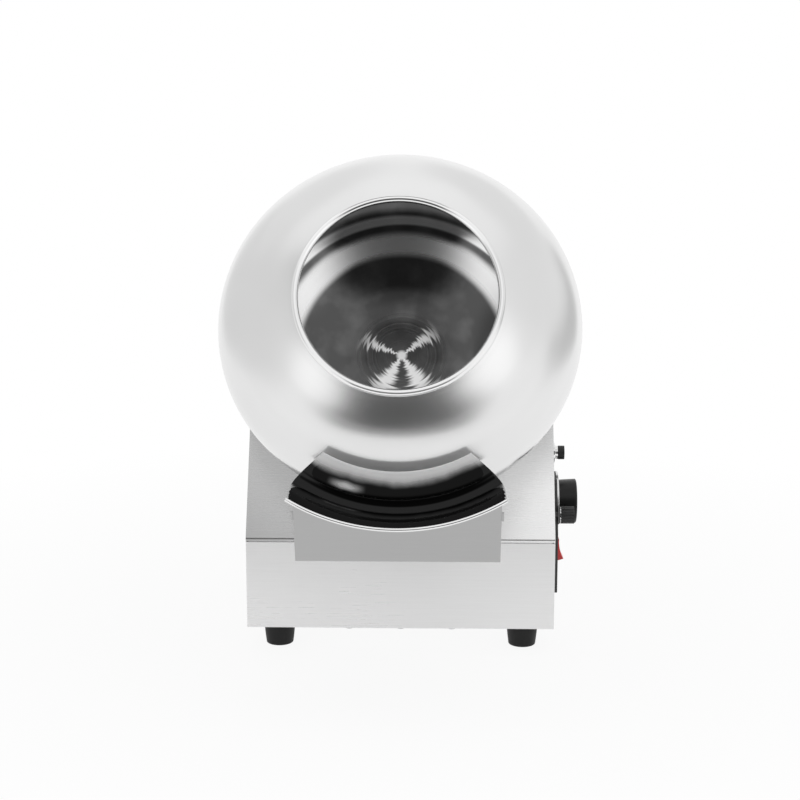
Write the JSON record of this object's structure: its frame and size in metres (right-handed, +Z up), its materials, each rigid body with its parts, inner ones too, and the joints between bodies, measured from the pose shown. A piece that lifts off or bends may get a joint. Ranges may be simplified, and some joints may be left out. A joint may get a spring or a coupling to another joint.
{
  "type": "tabletop chocolate coating pan",
  "caption": "Tilted spun steel pot on a geared shaft over a sloped box base, with a curved discharge chute on a bracket and side-mounted speed controls; it tumbles and coats sweets.",
  "frame": {"origin": "on the table, at the centre of the rectangle of the four feet", "axes": "+X to the machine's right as the user faces it, +Y to the back, +Z up"},
  "size_m": [0.4042, 0.5263, 0.5626],
  "materials": {
    "pot_steel": "spun and brushed",
    "bright_steel": "polished",
    "panel_steel": "fine brushed sheet",
    "machine_steel": "turned",
    "gear_steel": "machined",
    "cast_alloy": "cast and machined",
    "bronze": "sintered bronze",
    "black_steel": "black oxide",
    "black_rubber": "matt",
    "black_plastic": "satin",
    "grey_plastic": "satin",
    "red_plastic": "glossy",
    "motor_paint": "semi-gloss",
    "ferrite": "sintered",
    "copper": "machined",
    "board_green": "solder mask",
    "fuse_glass": "clear",
    "wire_skin": "smooth"
  },
  "bodies": {
    "chassis": {"shaft_seal": "black_rubber", "gear_plate": "machine_steel", "gearbox_housing": "cast_alloy", "gearbox_cover": "cast_alloy", "output_bushes": "bronze", "layshaft_bushes": "bronze", "gearbox_bolts": "black_steel", "cover_screws": "black_steel", "motor_can": "motor_paint", "motor_magnets": "ferrite", "motor_cap": "cast_alloy", "motor_brushes": "ferrite", "motor_bearings": "machine_steel", "motor_bolts": "black_steel", "front_panel": "panel_steel", "sloped_cover": "panel_steel", "left_panel": "panel_steel", "right_panel": "panel_steel", "rear_panel": "panel_steel", "base_pan": "panel_steel", "bottom_hatch": "panel_steel", "hatch_screws": "machine_steel", "rubber_feet": "black_rubber", "foot_screws": "machine_steel", "chute_pan": "bright_steel", "chute_bead": "bright_steel", "chute_bracket": "panel_steel", "bracket_screws": "machine_steel", "control_plate": "grey_plastic", "dial_disc": "cast_alloy", "control_pots": "cast_alloy", "switch_frame": "black_plastic", "fuse_collar": "bright_steel", "fuse_holder": "black_plastic", "power_inlet": "black_plastic", "inlet_pins": "machine_steel", "speed_board": "board_green", "board_posts": "bronze", "board_parts": "grey_plastic", "wiring": "wire_skin"},
    "drum": {"drum_shell": "pot_steel", "mouth_bead": "bright_steel", "drum_hub": "machine_steel", "hub_screw": "black_steel", "drum_shaft": "machine_steel", "gear_key": "machine_steel", "output_gear": "gear_steel"},
    "lay_gears": {"layshaft": "machine_steel", "layshaft_pinion": "gear_steel", "layshaft_gear": "gear_steel"},
    "rotor": {"rotor_shaft": "machine_steel", "motor_pinion": "gear_steel", "rotor_core": "gear_steel", "commutator": "copper"},
    "speed_control": {"speed_knob": "black_plastic", "speed_spindle": "machine_steel"},
    "trim_control": {"trim_knob": "grey_plastic"},
    "power_rocker": {"rocker": "red_plastic"},
    "fuse_carrier": {"fuse_cap": "black_plastic", "glass_fuse": "fuse_glass"}
  },
  "joints": [
    {"name": "drum_spin", "type": "hinge", "parent": "chassis", "child": "drum", "pos_m": [0, -0.17084, 0.37787], "axis": [0, -0.8829, 0.4695], "continuous": true},
    {"name": "layshaft_spin", "type": "hinge", "parent": "chassis", "child": "lay_gears", "pos_m": [0, -0.19619, 0.33019], "axis": [0, -0.8829, 0.4695], "continuous": true},
    {"name": "rotor_spin", "type": "hinge", "parent": "chassis", "child": "rotor", "pos_m": [0.03118, -0.18774, 0.34608], "axis": [0, -0.8829, 0.4695], "continuous": true},
    {"name": "speed_turn", "type": "hinge", "parent": "chassis", "child": "speed_control", "pos_m": [0.18, -0.088, 0.16], "axis": [1, 0, 0], "range_deg": [-300, 0]},
    {"name": "trim_turn", "type": "hinge", "parent": "chassis", "child": "trim_control", "pos_m": [0.18, -0.1342, 0.155], "axis": [1, 0, 0], "range_deg": [-300, 0]},
    {"name": "rocker_tilt", "type": "hinge", "parent": "chassis", "child": "power_rocker", "pos_m": [0.181, -0.088, 0.102], "axis": [0, 1, 0], "range_deg": [0, 26]},
    {"name": "fuse_pull", "type": "slide", "parent": "chassis", "child": "fuse_carrier", "axis": [1, 0, 0], "range_m": [0, 0.03]}
  ],
  "couplings": [
    {"joint": "layshaft_spin", "follows": "drum_spin", "ratio": -5},
    {"joint": "rotor_spin", "follows": "drum_spin", "ratio": 25}
  ]
}
